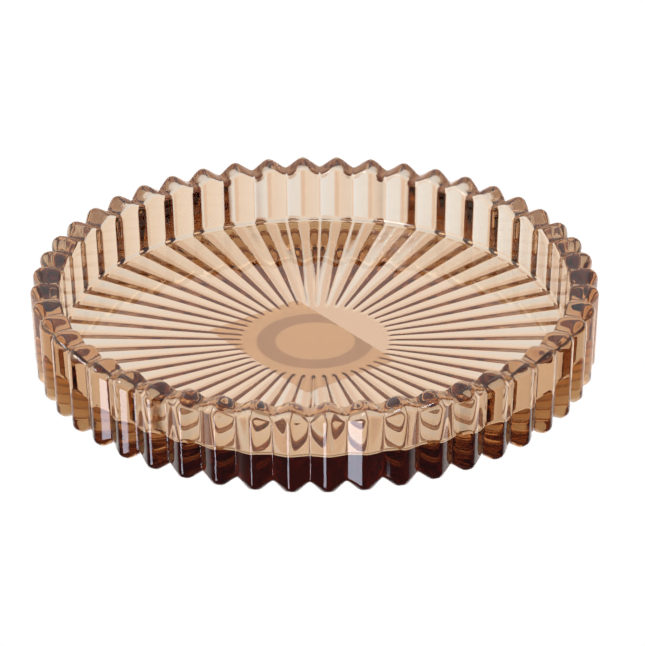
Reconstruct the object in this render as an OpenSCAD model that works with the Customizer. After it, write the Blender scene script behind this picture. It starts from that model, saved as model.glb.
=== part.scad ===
// Pressed-glass candle plate: a shallow round dish with a smooth inside and a fluted outside.
// One row of V flutes runs as rays over the underside, up the wall and across the rim.
// The dish stands on the plane z = 0 with its axis on Z, and one flute tip points along +X.

/* [Dish] */
// Diameter over the flute tips at the rim
rim_d = 150; // [120:1:180]
// Width by which the flute tips lean out between base and rim
flare = 1; // [0:0.1:4]
// Height of the flute tips at the rim
height = 24.2; // [18:0.1:32]
// Thickness of the floor, from the foot plane to the inside
floor_t = 8; // [6:0.1:10]
// Thickness of the wall at the rim, from flute tips to bowl
rim_wall = 8; // [6:0.1:10]
// Thickness of the wall at the floor, from flute tips to bowl
floor_wall = 7.8; // [6:0.1:10]
// Radius of the fillet between bowl wall and floor
bowl_fillet = 1.8; // [0.5:0.1:4]
// Radius of the crown, in which the rim falls away inwards
crown_round = 11; // [10:0.5:20]
// Width of the softened inner edge of the rim
rim_edge = 1; // [0.3:0.1:1.5]

/* [Flutes] */
// Number of flutes around the dish
flutes = 48; // [36:1:60]
// Radius of the rounded flute tips
tip_round = 2; // [0.8:0.1:3]
// Slope of the flute sides on the wall
wall_slope = 26.5; // [15:0.5:35]
// Slope of the flute sides on the rim
rim_slope = 30; // [15:0.5:40]
// Radius that carries each tip from the wall over to the rim
rim_round = 2.9; // [1:0.1:4]
// Radius that carries each tip from the underside to the wall
base_round = 2; // [0.5:0.1:3]

/* [Underside] */
// Depth of the rays under the flute tips
ray_depth = 2.25; // [1:0.05:3]
// Slope of the ray sides
ray_slope = 32; // [20:0.5:40]
// Diameter of the smooth disc in the middle, where the rays run out
disc_d = 37; // [20:0.5:56]
// Height of the middle of the underside above the foot plane
sink = 0.25; // [0.15:0.05:0.8]
// Room around the label's corners in the level middle of the underside
sink_room = 0.4; // [0.2:0.1:4]
// Width of the foot that the dish stands on, up to the flute tips
foot_w = 14; // [5:0.5:24]

/* [Label] */
// Length of the paper label
label_l = 43.5; // [30:0.5:45]
// Width of the paper label
label_w = 29; // [20:0.5:32]
// Thickness of the paper label
label_t = 0.1; // [0.08:0.01:0.14]
// Direction of the label's length, from +X towards +Y
label_turn = -56; // [-90:0.5:90]
// Place of the label's centre along X
label_x = -3.7; // [-4:0.1:4]
// Place of the label's centre along Y
label_y = -2.2; // [-4:0.1:4]

/* [Hidden] */
$fn = 192;
// Reach of a cutter past the glass
overrun = 3;
// Reach of a ray cutter past the foot plane
ray_clear = 0.6;
// Height by which the flute tips are taken off, which leaves a narrow land
tip_land = 0.04;
// Straight steps in each rounded stretch of the profile, and in half of a flute tip
round_steps = 5;
tip_steps = 3;
rim_r = rim_d / 2;
base_r = rim_r - flare;
bowl_rim_r = rim_r - rim_wall;
bowl_floor_r = base_r - floor_wall;
foot_r = base_r - foot_w;
sink_r = norm([label_l, label_w]) / 2 + norm([label_x, label_y]) + sink_room;
disc_r = disc_d / 2;
half_turn = 180 / flutes;
draft = atan2(flare, height);
bowl_draft = atan2(bowl_rim_r - bowl_floor_r, height - floor_t);
ray_rise = (ray_depth - sink) / (base_r - disc_r);
top_r = wall_r(height - rim_round) - rim_round / cos(draft);
crown_turn = asin((top_r - bowl_r(height) - rim_edge) / crown_round);
crown_z = height - crown_round * (1 - cos(crown_turn));

// Points on an arc about c, from angle a to angle b, with or without the point at a
function arc(c, r, a, b, first = 0) =
    [for (i = [first:round_steps]) c + r * [cos(a + (b - a) * i / round_steps), sin(a + (b - a) * i / round_steps)]];

// Radius of the tip line on the wall, and of the bowl wall, at height z
function wall_r(z) = base_r + z * tan(draft);
function bowl_r(z) = bowl_floor_r + (z - floor_t) * tan(bowl_draft);

// Half of the profile through the flute tips
module tip_profile() {
    base_c = [wall_r(base_round) - base_round / cos(draft), base_round];
    rim_c = [top_r, height - rim_round];
    crown_c = [top_r, height - crown_round];
    fillet_c = [bowl_r(floor_t + bowl_fillet) - bowl_fillet / cos(bowl_draft), floor_t + bowl_fillet];
    polygon(concat(
        [[0, sink], [sink_r, sink], [foot_r, 0]],
        arc(base_c, base_round, -90, -draft),
        arc(rim_c, rim_round, -draft, 90),
        arc(crown_c, crown_round, 90, 90 + crown_turn, first = 1),
        [[bowl_r(crown_z - rim_edge), crown_z - rim_edge]],
        arc(fillet_c, bowl_fillet, -bowl_draft, -90),
        [[0, floor_t]]
    ));
}

// Section of one V groove between rounded tips, open towards +X, with the tips at x = 0
module groove_section(half_w, slope) {
    flank = half_w - tip_round * sin(slope);
    depth = tip_round * (1 - cos(slope)) + flank * tan(slope);
    tip = [for (i = [0:tip_steps]) let (a = slope * i / tip_steps)
        [tip_round * (cos(a) - 1), half_w - tip_round * sin(a)]];
    side = concat([[overrun, half_w], [0, half_w]], tip, [[-depth, 0]]);
    translate([tip_land, 0])
        polygon(concat(side, [for (i = [len(side) - 2:-1:0]) [side[i].x, -side[i].y]]));
}

// Groove up the wall, leaning out with the draft
module wall_groove() {
    mid_r = (base_r + rim_r) / 2;
    translate([base_r * cos(half_turn), 0, 0])
        rotate([0, draft, 0])
            translate([0, 0, -overrun])
                linear_extrude(height + 2 * overrun)
                    groove_section(mid_r * sin(half_turn), wall_slope);
}

// Groove across the top of the rim
module rim_groove() {
    mid_r = (rim_r + bowl_rim_r) / 2;
    translate([rim_r + overrun, 0, height])
        rotate([0, -90, 0])
            linear_extrude(rim_r - bowl_rim_r + 3 * overrun)
                groove_section(mid_r * sin(half_turn), rim_slope);
}

// Ray on the underside, which starts at the disc and deepens and widens outwards
module ray_groove() {
    lean = atan(ray_rise);
    open_z = ray_depth + ray_clear;
    open_w = open_z / tan(ray_slope);
    translate([disc_r, 0, sink])
        rotate([0, 90 - lean, 0])
            linear_extrude(base_r + overrun - disc_r)
                polygon([[0, 0], [open_z, open_w], [open_z, -open_w]]);
}

module glass_dish() {
    color([0.80, 0.58, 0.42])
        difference() {
            rotate_extrude() tip_profile();
            for (i = [0:flutes - 1])
                rotate([0, 0, (2 * i + 1) * half_turn]) {
                    wall_groove();
                    rim_groove();
                    ray_groove();
                }
        }
}

module base_label() {
    color([0.88, 0.62, 0.46])
        translate([label_x, label_y, sink - label_t])
            rotate([0, 0, label_turn])
                translate([-label_l / 2, -label_w / 2, 0])
                    cube([label_l, label_w, label_t]);
}

glass_dish();
base_label();
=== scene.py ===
"""Fluted candle plate of pressed amber glass, with the paper label under its base."""
import math
import bpy
import numpy as np
from mathutils import Matrix, Vector


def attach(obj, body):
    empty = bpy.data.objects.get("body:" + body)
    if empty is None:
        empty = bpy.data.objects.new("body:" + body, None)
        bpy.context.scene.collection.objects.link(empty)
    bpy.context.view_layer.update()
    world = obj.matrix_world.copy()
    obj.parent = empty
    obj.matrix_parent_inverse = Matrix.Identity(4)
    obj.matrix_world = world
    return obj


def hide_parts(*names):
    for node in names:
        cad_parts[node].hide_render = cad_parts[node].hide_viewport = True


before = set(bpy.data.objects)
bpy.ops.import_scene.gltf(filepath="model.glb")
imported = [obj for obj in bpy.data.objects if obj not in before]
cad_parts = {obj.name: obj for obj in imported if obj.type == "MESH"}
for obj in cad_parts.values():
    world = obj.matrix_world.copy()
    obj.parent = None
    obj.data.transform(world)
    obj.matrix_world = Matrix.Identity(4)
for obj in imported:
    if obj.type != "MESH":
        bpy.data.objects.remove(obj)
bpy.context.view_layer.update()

# Sizes are in metres
MM = 0.001

# Flutes around the plate, and half a flute as an angle in radians
FLUTES = 48
HALF_TURN = math.pi / FLUTES

# Outside of the plate over the flute tips, and the roundings of the tips at base and rim
HEIGHT = 24.2 * MM
BASE_TIP_R = 73.84 * MM
RIM_TIP_R = 74.84 * MM
BASE_ROUND = 2.0 * MM
RIM_ROUND = 2.9 * MM

# Depth of the flutes on the wall and on the rim, and the roundings of their valleys
WALL_FLUTE = 2.15 * MM
RIM_FLUTE = 2.35 * MM
BASE_VALLEY_R = BASE_TIP_R - WALL_FLUTE
VALLEY_CORNER = 1.5 * MM
RIM_VALLEY_ROUND = 1.6 * MM

# Rim: a crown that falls away inwards, and its rounded inner edge. On the tips that edge
# meets the bowl wall about EDGE_DROP below the rim, and SMOOTH_DROP below the valleys the
# bowl wall has become smooth
CROWN_ROUND = 11.0 * MM
RIM_EDGE = 1.2 * MM
EDGE_DROP = 1.5 * MM
SMOOTH_DROP = 2.6 * MM

# Bowl: level floor, fillet, and a wall that leans outwards by BOWL_LEAN degrees
FLOOR_TOP = 8.0 * MM
BOWL_FLOOR_R = 66.2 * MM
BOWL_RIM_R = 67.0 * MM
BOWL_FILLET = 1.8 * MM
BOWL_LEAN = 2.8

# Underside: slightly sunken middle, and the foot that the plate stands on
SINK = 0.26 * MM
SINK_R = 30.9 * MM
FOOT_R = 60.0 * MM

# Rays: they open beside the smooth disc, over RAY_START_L to RAY_DEPTH, and deepen slowly by
# RAY_RISE, and faster from RAY_MORE_R on. Between RAY_WIDE_FROM and RAY_WIDE_TO they change
# from the shape at their start to the shape at the foot
DISC_R = 18.7 * MM
RAY_START_L = 2.4 * MM
RAY_DEPTH = 0.25 * MM
RAY_RISE = 0.0145
RAY_MORE_R = 31.0 * MM
RAY_MORE = 1.04 * MM
RAY_MORE_POWER = 1.15
RAY_WIDE_FROM = 36 * MM
RAY_WIDE_TO = 64 * MM

# The flute across half its width: level share at the tip, rounding at tip and at valley. A
# ray starts rounded right across with a sharp valley, and is nearly straight at the foot
WALL_SHAPE = (0.0, 0.22, 0.05)
RIM_SHAPE = (0.0, 0.28, 0.14)
EDGE_SHAPE = (0.0, 0.45, 0.30)
RAY_START_SHAPE = (0.0, 1.2, 0.05)
RAY_SHAPE = (0.34, 0.08, 0.09)

# Where the surface has its points: radii on the underside and on the floor, shares of half a
# flute, points on each rounding, and how close to a rounding a straight stretch keeps one
UNDER_ROWS_R = np.array([6, 12, 16, 18.6, 18.9, 19.4, 19.9, 20.4, 21.1, 23, 26, 30.8, 31.0,
                         35, 39, 44, 49, 54, 59.8, 60.2, 66, 69.5]) * MM
FLOOR_ROWS_R = np.array([52, 36, 20, 8]) * MM
HALF_FLUTE = np.array([0, 0.055, 0.115, 0.18, 0.26, 0.36, 0.52, 0.70, 0.84, 0.925, 0.975])
CORNER_POINTS = 9
ROUND_POINTS = 12
HOLD = 0.13 * MM

# Waviness left by the mould: its length and its height
WAVE_L = 9.09 * MM
WAVE_H = 0.4 * MM

# Label: length and height of the fibre, length of the mottle, and the printed ring
FIBRE_L = 1.11 * MM
FIBRE_H = 0.03 * MM
MOTTLE_L = 6.25 * MM
RING_MIDDLE_R = 13.0 * MM
RING_HALF_W = 2.5 * MM
RING_SOFT = 0.3 * MM

# Table just under the foot, and how much brighter the light is that paper scatters
TABLE_Z = -0.1 * MM
TABLE_REACH = 8.0
PAPER_LIGHT = 2.45

# Directions in the studio
UP = (0, 0, 1)
BEHIND = (0.04, 1, 0)

# How often light may turn inside the glass, and pass through clear surfaces
GLASS_TURNS = 40
CLEAR_TURNS = 16


def hex_linear(code):
    """An sRGB hex colour as linear red, green, blue and an alpha of one."""
    c = np.array([int(code[i:i + 2], 16) for i in (0, 2, 4)]) / 255
    return (*np.where(c <= 0.04045, c / 12.92, ((c + 0.055) / 1.055) ** 2.4).tolist(), 1.0)


def arc(centre, radius, start, end, steps):
    """Points on a circle about centre, from angle start to angle end in degrees."""
    a = np.radians(np.linspace(start, end, steps))
    return np.stack([centre[0] + radius * np.cos(a), centre[1] + radius * np.sin(a)], 1)


def straight(a, b, shares):
    """Points between a and b, at the given shares of the way."""
    return np.asarray(a) + (np.asarray(b) - np.asarray(a)) * np.asarray(shares)[:, None]


def held(a, b):
    """A straight stretch between two roundings: a point close to each end and one halfway."""
    near = HOLD / np.linalg.norm(np.asarray(b) - np.asarray(a))
    return straight(a, b, [near, 0.5, 1 - near])


def soft_step(t):
    """A share that leaves 0 and reaches 1 softly: three t squared less two t cubed."""
    t = np.clip(t, 0, 1)
    return t * t * (3 - 2 * t)


def flute_shape(u, level, tip, valley):
    """How far the surface is from the tip line (0) to the valley line (1) at share u of half
    a flute: level up to share level, rounded by tip, straight, and rounded by valley at 1.

    It is the mean of two hyperbolas at level to either side of the tip, less one at the valley
    and less u itself, moved and scaled to start at 0 and end at 1."""
    def run(v):
        return (0.5 * np.sqrt((v - level) ** 2 + tip ** 2)
                + 0.5 * np.sqrt((v + level) ** 2 + tip ** 2)
                - np.sqrt((1 - v) ** 2 + valley ** 2) - v)
    return (run(u) - run(0.0)) / (run(1.0) - run(0.0))


def wall_tip_r(z):
    """Radius of the tip line on the wall at height z, straight from base to rim."""
    return BASE_TIP_R + (RIM_TIP_R - BASE_TIP_R) * z / HEIGHT


def wall_valley_r(z):
    """Radius of the valley line on the wall at height z, one flute's depth inside the tips."""
    return wall_tip_r(z) - WALL_FLUTE


def bowl_r(z):
    """Radius of the bowl wall at height z, straight from floor to rim."""
    return BOWL_FLOOR_R + (BOWL_RIM_R - BOWL_FLOOR_R) * (z - FLOOR_TOP) / (HEIGHT - FLOOR_TOP)


def bowl_line(heights):
    """Points on the bowl wall at the given heights."""
    z = np.asarray(heights)
    return np.stack([bowl_r(z), z], 1)


def ray_depth(r):
    """Depth of a ray at radius r: a start depth and a slow even rise, brought in by a soft step
    beside the disc, and a power of the share of the way from RAY_MORE_R to the corner."""
    more = np.clip((r - RAY_MORE_R) / (BASE_VALLEY_R - RAY_MORE_R), 0, 1)
    return ((RAY_DEPTH + RAY_RISE * (r - DISC_R)) * soft_step((r - DISC_R) / RAY_START_L)
            + RAY_MORE * more ** RAY_MORE_POWER)


def section_rows(tip, valley, first, last=None, shares=None):
    """Rows of the section from points on the tip line and on the valley line. The flute's shape
    goes from first to last by a soft step, evenly along the rows or by the given shares."""
    t = soft_step(np.linspace(0, 1, len(tip)) if shares is None else shares)[:, None]
    shape = np.array([first]) * (1 - t) + np.array([last or first]) * t
    return np.column_stack([tip, valley, shape])


def plate_lines():
    """The plate's section as two lines of equal length, one through a flute's tip and one
    through its valley, from the middle of the underside round to the middle of the floor.

    Each row holds radius and height on the tip line, radius and height on the valley line,
    and the three shares of the flute's shape there."""
    lean = math.degrees(math.atan((RIM_TIP_R - BASE_TIP_R) / HEIGHT))

    # Underside: level middle, rays that start beside the disc, foot
    base_c = np.array([wall_tip_r(BASE_ROUND) - BASE_ROUND, BASE_ROUND])
    corner_z = ray_depth(BASE_VALLEY_R) + VALLEY_CORNER
    valley_c = np.array([wall_valley_r(corner_z) - VALLEY_CORNER, corner_z])
    r = np.append(UNDER_ROWS_R, base_c[0] - HOLD)
    tip_z = np.interp(r, [SINK_R, FOOT_R], [SINK, 0])
    run = np.minimum(r, valley_c[0] - HOLD)
    under = section_rows(np.stack([r, tip_z], 1), np.stack([run, tip_z + ray_depth(run)], 1),
                         RAY_START_SHAPE, RAY_SHAPE,
                         (r - RAY_WIDE_FROM) / (RAY_WIDE_TO - RAY_WIDE_FROM))

    # Corner from the underside to the wall
    base_tip = arc(base_c, BASE_ROUND, -90, -lean, CORNER_POINTS)
    base_valley = arc(valley_c, VALLEY_CORNER, -90, -lean, CORNER_POINTS)
    corner = section_rows(base_tip, base_valley, RAY_SHAPE, WALL_SHAPE)

    # Wall, and the turn over its top
    valley_top = HEIGHT - RIM_FLUTE
    rim_c = (wall_tip_r(HEIGHT - RIM_ROUND) - RIM_ROUND, HEIGHT - RIM_ROUND)
    rim_valley_c = (wall_valley_r(valley_top) - RIM_VALLEY_ROUND, valley_top - RIM_VALLEY_ROUND)
    rim_tip = arc(rim_c, RIM_ROUND, -lean, 90, ROUND_POINTS)
    rim_valley = arc(rim_valley_c, RIM_VALLEY_ROUND, -lean, 90, ROUND_POINTS)
    wall = section_rows(held(base_tip[-1], rim_tip[0]), held(base_valley[-1], rim_valley[0]),
                        WALL_SHAPE)
    outer = section_rows(rim_tip, rim_valley, WALL_SHAPE, RIM_SHAPE)

    # Crowned tips over level valleys, and the inner edge
    top_r = rim_tip[-1, 0]
    to_edge = CROWN_ROUND - RIM_EDGE
    turn = math.asin((top_r - RIM_EDGE - bowl_r(HEIGHT - EDGE_DROP)) / to_edge)
    crown_end = 90 + math.degrees(turn)
    crown = arc((top_r, HEIGHT - CROWN_ROUND), CROWN_ROUND, 90, crown_end, CORNER_POINTS)
    edge_c = (top_r - to_edge * math.sin(turn), HEIGHT - CROWN_ROUND + to_edge * math.cos(turn))
    edge_valley_c = (bowl_r(valley_top) + RIM_EDGE, valley_top - RIM_EDGE)
    edge_tip = arc(edge_c, RIM_EDGE, crown_end, 180 - BOWL_LEAN, CORNER_POINTS)
    edge_valley = arc(edge_valley_c, RIM_EDGE, 90, 180 - BOWL_LEAN, CORNER_POINTS)
    level = straight(rim_valley[-1], edge_valley[0], np.linspace(0, 1, CORNER_POINTS))
    top = section_rows(crown[1:-1], level[1:-1], RIM_SHAPE, EDGE_SHAPE)
    inner = section_rows(edge_tip, edge_valley, EDGE_SHAPE)

    # Bowl: its wall, which soon becomes smooth, the fillet and the level floor
    smooth_z = valley_top - SMOOTH_DROP
    edge_z, edge_valley_z = edge_tip[-1, 1], edge_valley[-1, 1]
    upper = section_rows(
        bowl_line([edge_z - HOLD, 0.5 * (edge_z + smooth_z), smooth_z]),
        bowl_line([edge_valley_z - HOLD, 0.5 * (edge_valley_z + smooth_z), smooth_z]), RIM_SHAPE)
    fillet_z = FLOOR_TOP + BOWL_FILLET
    fillet_c = (bowl_r(fillet_z) - BOWL_FILLET, fillet_z)
    fillet = arc(fillet_c, BOWL_FILLET, -BOWL_LEAN, -90, ROUND_POINTS)
    lower = bowl_line([0.5 * (smooth_z + fillet_z), fillet_z + HOLD])
    floor_r = np.append(fillet[-1, 0] - HOLD, FLOOR_ROWS_R)
    floor = np.stack([floor_r, np.full_like(floor_r, FLOOR_TOP)], 1)
    smooth = np.concatenate([lower, fillet, floor])
    return np.concatenate([under, corner, wall, outer, top, inner, upper,
                           section_rows(smooth, smooth, RIM_SHAPE)])


def mesh_object(name, points, faces, material):
    """A smooth-shaded mesh object at the origin from points and a list of face arrays."""
    mesh = bpy.data.meshes.new(name)
    mesh.from_pydata(points.tolist(), [], [f for block in faces for f in block.tolist()])
    mesh.polygons.foreach_set("use_smooth", np.ones(len(mesh.polygons), bool))
    mesh.materials.append(material)
    mesh.update()
    piece = bpy.data.objects.new(name, mesh)
    bpy.context.scene.collection.objects.link(piece)
    return piece


def plate_mesh(material):
    """The plate's closed surface over two parameters: the row along its section, and the angle.

    Each point lies between the tip line and the valley line, at the share that flute_shape
    gives for its place across the flute. Both middles close on one point."""
    lines = plate_lines()
    # Places across a flute, from its tip (0) by its valley (1) to just before the next tip (2)
    places = np.concatenate([HALF_FLUTE, [1], 2 - HALF_FLUTE[:0:-1]])
    u = np.tile(np.minimum(places, 2 - places), FLUTES)
    angle = ((np.arange(FLUTES)[:, None] * 2 + places[None, :]) * HALF_TURN).ravel()
    tip_r, tip_z, valley_r, valley_z, *shape = (lines[:, i][:, None] for i in range(7))
    w = flute_shape(u[None, :], *shape)
    radius = tip_r + (valley_r - tip_r) * w
    height = tip_z + (valley_z - tip_z) * w
    grid = np.stack([radius * np.cos(angle), radius * np.sin(angle), height], 2)
    rows, columns = grid.shape[:2]
    points = np.concatenate([grid.reshape(-1, 3), [[0, 0, lines[0, 1]], [0, 0, FLOOR_TOP]]])
    row = np.arange(rows - 1)[:, None] * columns
    here = np.arange(columns)[None, :]
    beside = (here + 1) % columns
    quads = np.stack([row + here, row + beside,
                      row + columns + beside, row + columns + here], 2).reshape(-1, 4)
    last = (rows - 1) * columns
    under_middle = np.full(columns, rows * columns)
    under = np.stack([beside[0], here[0], under_middle], 1)
    over = np.stack([last + here[0], last + beside[0], under_middle + 1], 1)
    return mesh_object("pressed_glass_plate", points, [quads, under, over], material)


def add(tree, kind, inputs=None, **settings):
    """Adds a node with its settings, and sets or links its inputs."""
    made = tree.nodes.new(kind)
    for key, value in settings.items():
        setattr(made, key, value)
    for key, value in (inputs or {}).items():
        if isinstance(value, bpy.types.NodeSocket):
            tree.links.new(value, made.inputs[key])
        else:
            made.inputs[key].default_value = value
    return made


def new_material(name):
    """An empty node material, its tree and its output node."""
    material = bpy.data.materials.new(name)
    material.use_nodes = True
    material.node_tree.nodes.clear()
    return material, material.node_tree, add(material.node_tree, "ShaderNodeOutputMaterial")


def pressed_amber_glass():
    """Soda-lime glass tinted amber in the melt and pressed in an iron mould.

    The tint sits in the body, so thin walls look straw and long paths brown to black. The
    mould leaves a faint waviness, about as long as a flute is wide, that bends reflections."""
    material, tree, output = new_material("pressed_amber_glass")
    place = add(tree, "ShaderNodeTexCoord").outputs["Object"]
    wave = add(tree, "ShaderNodeTexNoise", {
        "Vector": place, "Scale": 1 / WAVE_L, "Detail": 0.0, "Roughness": 0.4})
    bump = add(tree, "ShaderNodeBump", {
        "Strength": 0.09, "Distance": WAVE_H, "Height": wave.outputs["Fac"]})
    skin = add(tree, "ShaderNodeBsdfPrincipled", {
        "Base Color": hex_linear("FFFFFF"), "Roughness": 0.0, "IOR": 1.52,
        "Transmission Weight": 1.0, "Normal": bump.outputs["Normal"]})
    body = add(tree, "ShaderNodeVolumeAbsorption", {
        "Color": hex_linear("E7CDA5"), "Density": 100.0})
    tree.links.new(skin.outputs["BSDF"], output.inputs["Surface"])
    tree.links.new(body.outputs["Volume"], output.inputs["Volume"])
    return material


def label_paper():
    """Coated label paper, printed and glued under the base.

    Seen through the glass it is a dull peach with a faint mottle and a plain printed ring,
    31 mm across outside and 21 mm inside. The fibre is drawn coarser than it is, to show."""
    material, tree, output = new_material("label_paper_coated")
    place = add(tree, "ShaderNodeTexCoord").outputs["Object"]
    fibre = add(tree, "ShaderNodeTexNoise", {
        "Vector": place, "Scale": 1 / FIBRE_L, "Detail": 4.0})
    mottle = add(tree, "ShaderNodeTexNoise", {
        "Vector": place, "Scale": 1 / MOTTLE_L, "Detail": 3.0})
    paper = add(tree, "ShaderNodeMix", {
        0: mottle.outputs["Fac"], 6: hex_linear("DCDFE6"), 7: hex_linear("D2D7DE")},
        data_type="RGBA")
    ink = add(tree, "ShaderNodeMix", {
        0: mottle.outputs["Fac"], 6: hex_linear("BAB9C4"), 7: hex_linear("ACACB6")},
        data_type="RGBA")
    flat = add(tree, "ShaderNodeVectorMath", {0: place, 1: (1, 1, 0)}, operation="MULTIPLY")
    from_middle = add(tree, "ShaderNodeVectorMath", {0: flat.outputs["Vector"]},
                      operation="LENGTH")
    past_ring = add(tree, "ShaderNodeMath", {0: from_middle.outputs["Value"], 1: RING_MIDDLE_R},
                    operation="SUBTRACT")
    off_ring = add(tree, "ShaderNodeMath", {0: past_ring.outputs[0]}, operation="ABSOLUTE")
    ring = add(tree, "ShaderNodeMapRange", {
        "Value": off_ring.outputs[0],
        "From Min": RING_HALF_W + RING_SOFT, "From Max": RING_HALF_W - RING_SOFT})
    printed = add(tree, "ShaderNodeMix", {
        0: ring.outputs["Result"], 6: paper.outputs[2], 7: ink.outputs[2]}, data_type="RGBA")
    bump = add(tree, "ShaderNodeBump", {
        "Strength": 0.2, "Distance": FIBRE_H, "Height": fibre.outputs["Fac"]})
    skin = add(tree, "ShaderNodeBsdfPrincipled", {
        "Base Color": printed.outputs[2], "Roughness": 0.6, "Normal": bump.outputs["Normal"]})
    tree.links.new(skin.outputs["BSDF"], output.inputs["Surface"])
    return material


def table_surface():
    """The pale table, lit evenly from all around, so that it stays white under the glass."""
    material, tree, output = new_material("pale_table")
    glow = add(tree, "ShaderNodeEmission", {"Color": hex_linear("FFFFFF"), "Strength": 1.0})
    tree.links.new(glow.outputs["Emission"], output.inputs["Surface"])
    return material


def spot(azimuth, elevation, full, ends):
    """A round spot in the studio, given in degrees: its direction, and the cosines of the
    angles from its middle at which its light ends and at which it is full."""
    a, e = math.radians(azimuth), math.radians(elevation)
    towards = (math.cos(e) * math.cos(a), math.cos(e) * math.sin(a), math.sin(e))
    return towards, math.cos(math.radians(ends)), math.cos(math.radians(full))


def laid_over(tree, ray, colour, layers):
    """The studio's colour in a ray's direction: a first colour with layers laid over it.

    Each layer has a direction, two cosines and a colour, which comes in by a soft step while
    the cosine between ray and direction goes from the first to the second."""
    for towards, starts, full, over in layers:
        cosine = add(tree, "ShaderNodeVectorMath", {0: ray, 1: towards}, operation="DOT_PRODUCT")
        amount = add(tree, "ShaderNodeMapRange", {
            "Value": cosine.outputs["Value"], "From Min": starts, "From Max": full},
            interpolation_type="SMOOTHSTEP")
        colour = add(tree, "ShaderNodeMix", {0: amount.outputs["Result"], 6: colour, 7: over},
                     data_type="RGBA").outputs[2]
    return colour


def studio_world():
    """A pale room over a warm, softly shining table top, with its colours as linear light.

    What shows through the glass and what its surface mirrors are set apart. Through the glass
    the table shows warm, white right below and in a patch behind on the right, under a bright
    horizon and brown walls. The surface mirrors the room, which is brighter on the left and
    high up behind, a window in front on the left and that window's shine on the table."""
    world = bpy.data.worlds.new("studio")
    world.use_nodes = True
    tree = world.node_tree
    tree.nodes.clear()
    ray = add(tree, "ShaderNodeTexCoord").outputs["Generated"]

    table_below = laid_over(tree, ray, (1.0, 0.89, 0.79, 1), [
        (UP, -0.66, -0.80, (0.91, 0.93, 0.96, 1)),
        (*spot(56, -27, 4, 16), (0.82, 0.66, 0.56, 1)),
        (*spot(70, -26, 4, 14), (1.0, 1.02, 1.04, 1)),
        (*spot(87.6, -28, 1, 13), (0.92, 0.73, 0.60, 1))])
    horizon = laid_over(tree, ray, (2.3, 1.8, 1.2, 1), [
        (*spot(50, -5, 10, 60), (2.0, 2.0, 1.8, 1))])
    walls = laid_over(tree, ray, (0.66, 0.48, 0.29, 1), [
        (UP, 0.75, 0.97, (1.1, 0.8, 0.45, 1)),
        (*spot(87.6, 28, 10, 38), (0.45, 0.42, 0.40, 1))])
    room_behind = laid_over(tree, ray, table_below, [
        (UP, -0.26, -0.16, horizon),
        (UP, 0.02, 0.16, walls)])
    seen_through = laid_over(tree, ray, (0.55, 0.40, 0.28, 1), [
        (BEHIND, -0.5, 0.5, room_behind)])

    # The mirrored table is dark in front and bright behind, with a steeper step between
    cosine = add(tree, "ShaderNodeVectorMath", {0: ray, 1: BEHIND}, operation="DOT_PRODUCT")
    step = add(tree, "ShaderNodeMapRange", {
        "Value": cosine.outputs["Value"], "From Min": -0.5, "From Max": 0.5},
        interpolation_type="SMOOTHSTEP")
    steeper = add(tree, "ShaderNodeMapRange", {
        "Value": step.outputs["Result"], "From Min": 0.4, "From Max": 0.95},
        interpolation_type="SMOOTHSTEP")
    table_mirrored = add(tree, "ShaderNodeMix", {
        0: steeper.outputs["Result"], 6: (0.10, 0.10, 0.11, 1), 7: (1.7, 1.65, 1.6, 1)},
        data_type="RGBA")
    mirrored = laid_over(tree, ray, table_mirrored.outputs[2], [
        (UP, -0.1, 0.1, (0.95, 0.86, 0.83, 1)),
        (*spot(180, 15, 10, 50), (2.4, 2.2, 1.9, 1)),
        (*spot(87.6, 75, 10, 40), (1.7, 1.8, 1.8, 1)),
        (*spot(-129.5, -33, 6, 8), (6.5, 6.8, 8.2, 1)),
        (*spot(-131, 31, 7, 11), (11.0, 11.4, 12.5, 1))])

    # Light that paper scatters is brighter, as the glass gathers light on the label
    path = add(tree, "ShaderNodeLightPath")
    seen = add(tree, "ShaderNodeMix", {
        0: path.outputs["Is Transmission Ray"], 6: mirrored, 7: seen_through},
        data_type="RGBA")
    brightness = add(tree, "ShaderNodeMath", {
        0: path.outputs["Diffuse Depth"], 1: PAPER_LIGHT, 2: 1.0}, operation="MULTIPLY_ADD")
    room = add(tree, "ShaderNodeBackground", {
        "Color": seen.outputs[2], "Strength": brightness.outputs[0]})
    add(tree, "ShaderNodeOutputWorld", {"Surface": room.outputs["Background"]})
    return world


plate = plate_mesh(pressed_amber_glass())
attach(plate, "root")
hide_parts("glass_dish")

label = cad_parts["base_label"]
label.data.materials.clear()
label.data.materials.append(label_paper())

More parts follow.
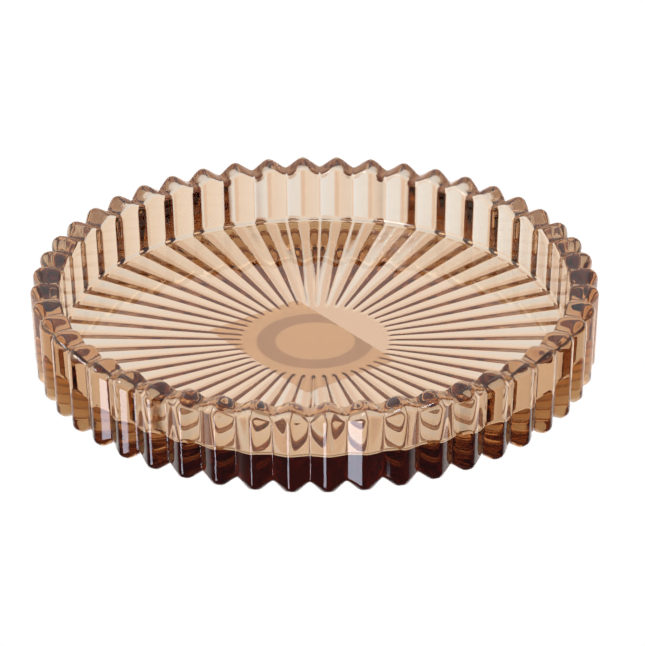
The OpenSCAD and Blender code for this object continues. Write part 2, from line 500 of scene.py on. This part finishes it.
# Table: only the camera sees it. In and through the glass, the studio's own table shows
corners = np.array([[-1, -1], [1, -1], [1, 1], [-1, 1]]) * TABLE_REACH
table = mesh_object("table", np.column_stack([corners, np.full(4, TABLE_Z)]),
                    [np.array([[0, 1, 2, 3]])], table_surface())
table.visible_glossy = False
table.visible_transmission = False
table.visible_shadow = False

bpy.context.scene.world = studio_world()

# Camera: 28 degrees above the table and 1.31 m away. Its roll is in radians, and it aims off
# the plate's middle by pixels of a frame 645 wide
AZIMUTH, ELEVATION, ROLL = math.radians(-92.44), math.radians(28.0), -0.0079
DISTANCE, LENS, SENSOR, WIDTH = 1.311, 276.14, 36.0, 645
RIGHT_OF_AXIS, ABOVE_AXIS = 7.2, 34.8
NEAREST, FARTHEST = 0.05, 50.0
back = Vector((math.cos(ELEVATION) * math.cos(AZIMUTH),
               math.cos(ELEVATION) * math.sin(AZIMUTH), math.sin(ELEVATION)))
level_right = Vector(UP).cross(back).normalized()
level_up = back.cross(level_right)
right = level_right * math.cos(ROLL) + level_up * math.sin(ROLL)
up = level_up * math.cos(ROLL) - level_right * math.sin(ROLL)
pixels = LENS / SENSOR * WIDTH
look = (-back * pixels + right * RIGHT_OF_AXIS + up * ABOVE_AXIS).normalized()
right = (right - look * right.dot(look)).normalized()
up = right.cross(look)
camera = bpy.data.objects.new("camera", bpy.data.cameras.new("camera"))
bpy.context.scene.collection.objects.link(camera)
camera.data.sensor_width = SENSOR
camera.data.sensor_fit = "HORIZONTAL"
camera.data.lens = LENS
camera.data.clip_start, camera.data.clip_end = NEAREST, FARTHEST
turn = Matrix((right, up, -look)).transposed().to_4x4()
camera.matrix_world = Matrix.Translation(back * DISTANCE) @ turn
bpy.context.scene.camera = camera

# Enough turns for light inside the flutes, and the plain view that keeps white white
cycles = bpy.context.scene.cycles
cycles.max_bounces = GLASS_TURNS
cycles.transmission_bounces = GLASS_TURNS
cycles.glossy_bounces = GLASS_TURNS
cycles.transparent_max_bounces = CLEAR_TURNS
cycles.volume_bounces = 0
cycles.caustics_reflective = True
cycles.caustics_refractive = True
bpy.context.scene.view_settings.view_transform = "Standard"
bpy.context.scene.view_settings.look = "None"
